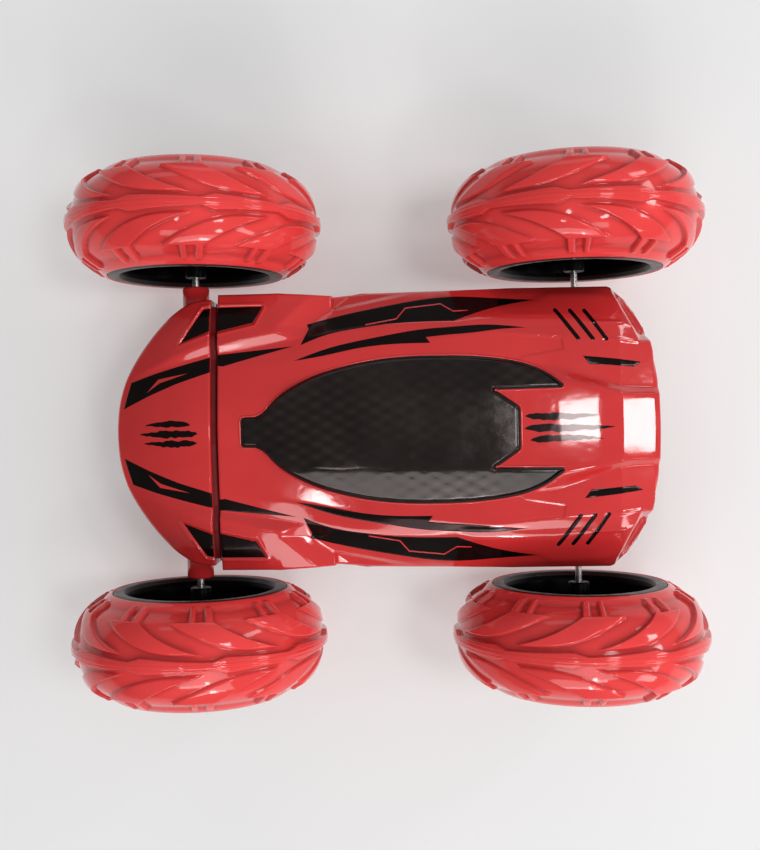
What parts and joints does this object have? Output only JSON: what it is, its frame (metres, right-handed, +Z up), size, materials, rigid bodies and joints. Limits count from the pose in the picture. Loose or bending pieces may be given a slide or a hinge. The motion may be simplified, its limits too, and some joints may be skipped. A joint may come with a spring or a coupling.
{
  "type": "rc stunt car",
  "caption": "Low double-sided toy stunt car: faceted body, nose section that twists about the long axis, and oversized balloon wheels driven one by one.",
  "frame": {"origin": "on the ground under the middle of the car, midway between the axles and between the wheels", "axes": "+X forward towards the nose, +Y to the car's left, +Z up; the axles lie along Y at z = 56 mm"},
  "size_m": [0.28, 0.228, 0.112],
  "materials": {
    "tyre_red": "glossy moulded soft plastic with raised tread",
    "body_red": "glossy moulded plastic, in-mould colour",
    "smoke_black": "glossy smoke black with a faint woven texture",
    "rim_black": "satin black moulded plastic",
    "steel": "bright zinc plated steel",
    "motor_can": "plated steel can",
    "gear_white": "natural acetal",
    "frame_black": "moulded plastic",
    "board_green": "solder mask on glass fibre board",
    "battery_blue": "shrink sleeve",
    "bearing_white": "acetal bush"
  },
  "bodies": {
    "chassis": {"upper_shell": "body_red", "lower_shell": "body_red", "canopy": "smoke_black", "battery_door": "smoke_black", "battery_door_screw": "steel", "body_screws": "steel", "battery_pack": "battery_blue", "receiver_board": "board_green", "switch_base": "frame_black", "pivot_bush": "bearing_white", "twist_gearmotor": "motor_can", "motor_rl": "motor_can", "gearbox_frame_rl": "frame_black", "gearbox_cover_rl": "frame_black", "motor_rr": "motor_can", "gearbox_frame_rr": "frame_black", "gearbox_cover_rr": "frame_black"},
    "nose": {"nose_upper_shell": "body_red", "nose_lower_shell": "body_red", "nose_screws": "steel", "pivot_spindle": "frame_black", "twist_gear": "gear_white", "motor_fl": "motor_can", "gearbox_frame_fl": "frame_black", "gearbox_cover_fl": "frame_black", "motor_fr": "motor_can", "gearbox_frame_fr": "frame_black", "gearbox_cover_fr": "frame_black"},
    "wheel_fl": {"tyre_fl": "tyre_red", "rim_fl": "rim_black", "axle_fl": "steel", "axle_gear_fl": "gear_white", "hub_nut_fl": "steel"},
    "compound_fl": {"compound_gear_fl": "gear_white"},
    "pinion_fl": {"motor_pinion_fl": "gear_white"},
    "wheel_fr": {"tyre_fr": "tyre_red", "rim_fr": "rim_black", "axle_fr": "steel", "axle_gear_fr": "gear_white", "hub_nut_fr": "steel"},
    "compound_fr": {"compound_gear_fr": "gear_white"},
    "pinion_fr": {"motor_pinion_fr": "gear_white"},
    "wheel_rl": {"tyre_rl": "tyre_red", "rim_rl": "rim_black", "axle_rl": "steel", "axle_gear_rl": "gear_white", "hub_nut_rl": "steel"},
    "compound_rl": {"compound_gear_rl": "gear_white"},
    "pinion_rl": {"motor_pinion_rl": "gear_white"},
    "wheel_rr": {"tyre_rr": "tyre_red", "rim_rr": "rim_black", "axle_rr": "steel", "axle_gear_rr": "gear_white", "hub_nut_rr": "steel"},
    "compound_rr": {"compound_gear_rr": "gear_white"},
    "pinion_rr": {"motor_pinion_rr": "gear_white"},
    "twist_pinion": {"twist_pinion": "gear_white"},
    "switch": {"power_switch_knob": "frame_black"}
  },
  "joints": [
    {"name": "nose_twist", "type": "hinge", "parent": "chassis", "child": "nose", "pos_m": [0.07, 0, 0.056], "axis": [1, 0, 0], "range_deg": [-90, 90]},
    {"name": "wheel_spin_fl", "type": "hinge", "parent": "nose", "child": "wheel_fl", "pos_m": [0.084, 0.0915, 0.056], "axis": [0, 1, 0], "continuous": true},
    {"name": "compound_spin_fl", "type": "hinge", "parent": "nose", "child": "compound_fl", "pos_m": [0.092, 0.026, 0.056], "axis": [0, 1, 0], "continuous": true},
    {"name": "motor_spin_fl", "type": "hinge", "parent": "nose", "child": "pinion_fl", "pos_m": [0.08712, 0.021, 0.06444], "axis": [0, 1, 0], "continuous": true},
    {"name": "wheel_spin_fr", "type": "hinge", "parent": "nose", "child": "wheel_fr", "pos_m": [0.084, -0.0915, 0.056], "axis": [0, 1, 0], "continuous": true},
    {"name": "compound_spin_fr", "type": "hinge", "parent": "nose", "child": "compound_fr", "pos_m": [0.092, -0.026, 0.056], "axis": [0, 1, 0], "continuous": true},
    {"name": "motor_spin_fr", "type": "hinge", "parent": "nose", "child": "pinion_fr", "pos_m": [0.08712, -0.021, 0.06444], "axis": [0, 1, 0], "continuous": true},
    {"name": "wheel_spin_rl", "type": "hinge", "parent": "chassis", "child": "wheel_rl", "pos_m": [-0.084, 0.0915, 0.056], "axis": [0, 1, 0], "continuous": true},
    {"name": "compound_spin_rl", "type": "hinge", "parent": "chassis", "child": "compound_rl", "pos_m": [-0.076, 0.026, 0.056], "axis": [0, 1, 0], "continuous": true},
    {"name": "motor_spin_rl", "type": "hinge", "parent": "chassis", "child": "pinion_rl", "pos_m": [-0.08088, 0.021, 0.06444], "axis": [0, 1, 0], "continuous": true},
    {"name": "wheel_spin_rr", "type": "hinge", "parent": "chassis", "child": "wheel_rr", "pos_m": [-0.084, -0.0915, 0.056], "axis": [0, 1, 0], "continuous": true},
    {"name": "compound_spin_rr", "type": "hinge", "parent": "chassis", "child": "compound_rr", "pos_m": [-0.076, -0.026, 0.056], "axis": [0, 1, 0], "continuous": true},
    {"name": "motor_spin_rr", "type": "hinge", "parent": "chassis", "child": "pinion_rr", "pos_m": [-0.08088, -0.021, 0.06444], "axis": [0, 1, 0], "continuous": true},
    {"name": "twist_motor_spin", "type": "hinge", "parent": "chassis", "child": "twist_pinion", "pos_m": [0.064, 0.0168, 0.056], "axis": [1, 0, 0], "range_deg": [-290, 290]},
    {"name": "power_slide", "type": "slide", "parent": "chassis", "child": "switch", "axis": [1, 0, 0], "range_m": [0, 0.004]}
  ],
  "couplings": [
    {"joint": "compound_spin_fl", "follows": "wheel_spin_fl", "ratio": -2.2},
    {"joint": "motor_spin_fl", "follows": "wheel_spin_fl", "ratio": 7.3333},
    {"joint": "compound_spin_fr", "follows": "wheel_spin_fr", "ratio": -2.2},
    {"joint": "motor_spin_fr", "follows": "wheel_spin_fr", "ratio": 7.3333},
    {"joint": "compound_spin_rl", "follows": "wheel_spin_rl", "ratio": -2.2},
    {"joint": "motor_spin_rl", "follows": "wheel_spin_rl", "ratio": 7.3333},
    {"joint": "compound_spin_rr", "follows": "wheel_spin_rr", "ratio": -2.2},
    {"joint": "motor_spin_rr", "follows": "wheel_spin_rr", "ratio": 7.3333},
    {"joint": "twist_motor_spin", "follows": "nose_twist", "ratio": -3.2}
  ]
}
